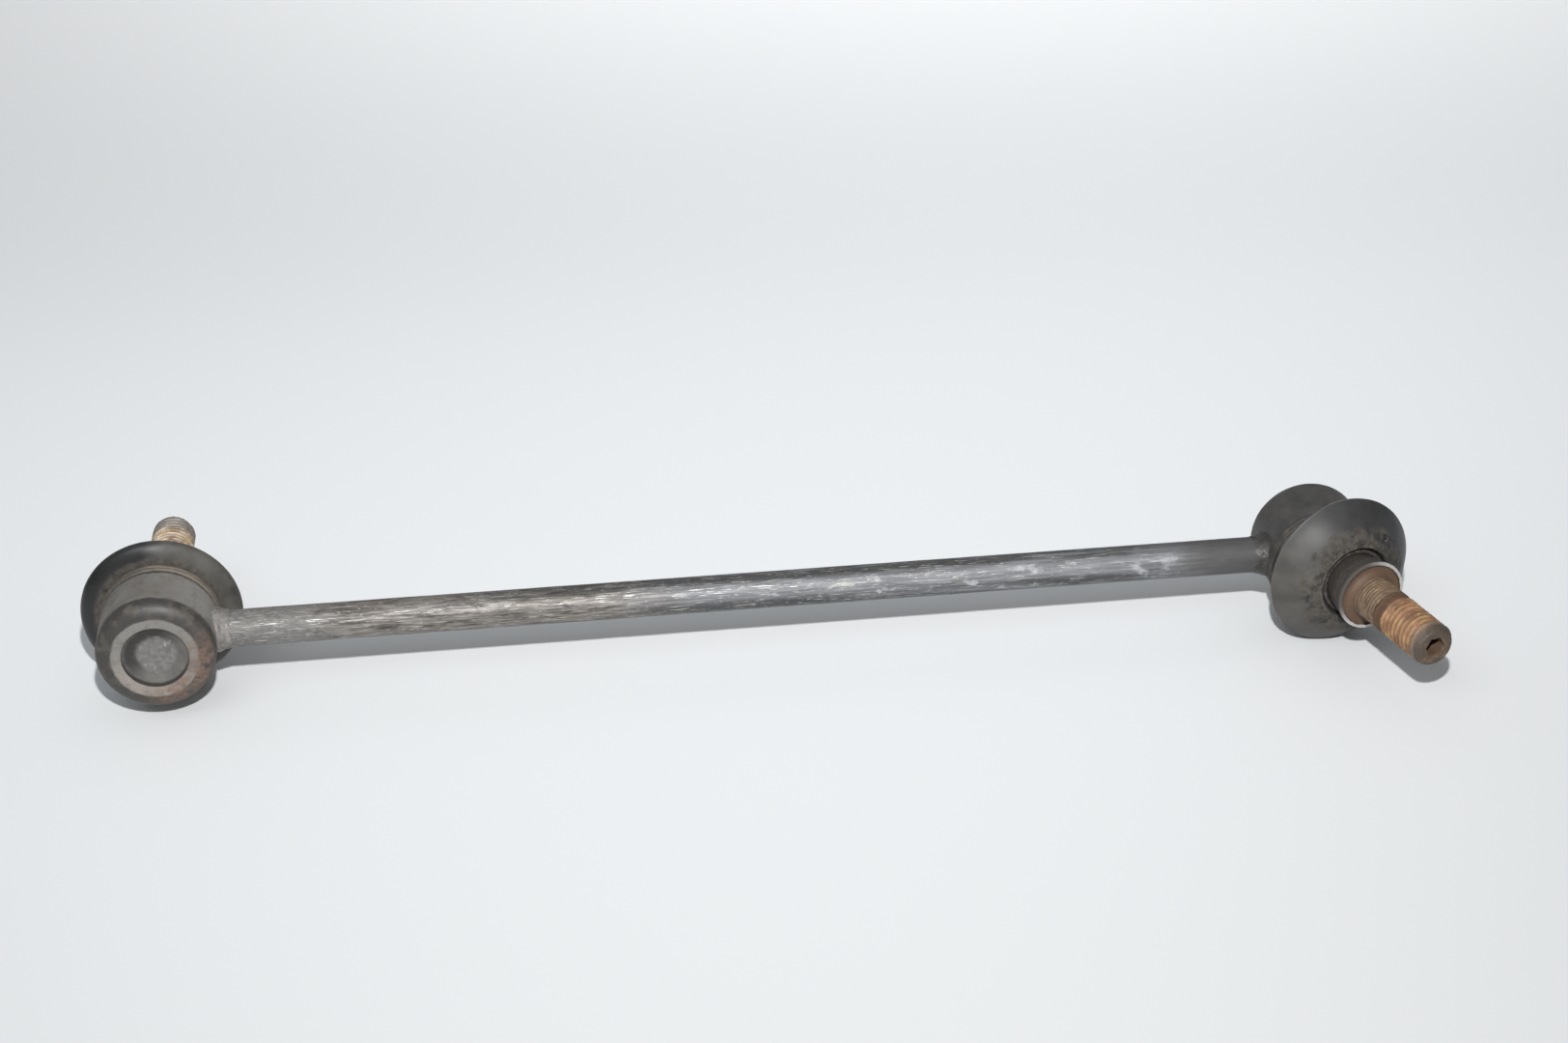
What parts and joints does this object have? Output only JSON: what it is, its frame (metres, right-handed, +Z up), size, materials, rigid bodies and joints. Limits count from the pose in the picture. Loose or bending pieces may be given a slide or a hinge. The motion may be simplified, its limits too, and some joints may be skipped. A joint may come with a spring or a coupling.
{
  "type": "stabilizer link",
  "caption": "Drop link for a vehicle's stabilizer bar: straight steel rod with a welded, rubber-booted ball joint at each end and threaded studs pointing opposite ways.",
  "frame": {"origin": "midway between the two ball centres, on the axis of the rod", "axes": "+X along the rod towards the right end, +Y the way the left stud points, +Z up as the link lies on the floor; the right stud points along -Y, swung 13 degrees towards +X as in the picture"},
  "size_m": [0.3606, 0.1172, 0.0424],
  "materials": {
    "rod_steel": "worn bare steel with remains of dark coating",
    "weld_steel": "rough weld metal",
    "housing_steel": "worn dark coating with rust stains",
    "plate_steel": "scuffed pressed steel",
    "seat_plastic": "moulded bearing plastic",
    "clamp_wire": "rust-stained spring wire",
    "boot_rubber": "smooth rubber with dried dirt",
    "ring_wire": "spring wire",
    "stud_steel": "rusted zinc plating with a bright bearing rim"
  },
  "bodies": {
    "link": {"link_rod": "rod_steel", "left_weld_bead": "weld_steel", "right_weld_bead": "weld_steel", "left_housing": "housing_steel", "right_housing": "housing_steel", "left_closing_plate": "plate_steel", "right_closing_plate": "plate_steel", "left_ball_seat": "seat_plastic", "right_ball_seat": "seat_plastic", "left_boot_clamp": "clamp_wire", "right_boot_clamp": "clamp_wire"},
    "left_boot": {"left_dust_boot": "boot_rubber"},
    "left_neck": {"left_neck_ring": "ring_wire"},
    "left_stud": {"left_ball_stud": "stud_steel"},
    "right_boot": {"right_dust_boot": "boot_rubber"},
    "right_neck": {"right_neck_ring": "ring_wire"},
    "right_stud": {"right_ball_stud": "stud_steel"}
  },
  "joints": [
    {"name": "left_tilt", "type": "hinge", "parent": "link", "child": "left_boot", "pos_m": [-0.158, 0, 0], "axis": [1, 0, 0], "range_deg": [-18, 18], "deforming": ["left_dust_boot"]},
    {"name": "left_swing", "type": "hinge", "parent": "left_boot", "child": "left_neck", "pos_m": [-0.158, 0, 0], "axis": [0, 0, 1], "range_deg": [-18, 18], "deforming": ["left_dust_boot"]},
    {"name": "left_spin", "type": "hinge", "parent": "left_neck", "child": "left_stud", "pos_m": [-0.158, 0, 0], "axis": [0, 1, 0], "continuous": true},
    {"name": "right_tilt", "type": "hinge", "parent": "link", "child": "right_boot", "pos_m": [0.158, 0, 0], "axis": [1, 0, 0], "range_deg": [-18, 18], "deforming": ["right_dust_boot"]},
    {"name": "right_swing", "type": "hinge", "parent": "right_boot", "child": "right_neck", "pos_m": [0.158, 0, 0], "axis": [0, 0, 1], "range_deg": [-31, 5], "deforming": ["right_dust_boot"]},
    {"name": "right_spin", "type": "hinge", "parent": "right_neck", "child": "right_stud", "pos_m": [0.158, 0, 0], "axis": [-0.225, 0.9744, 0], "continuous": true}
  ]
}
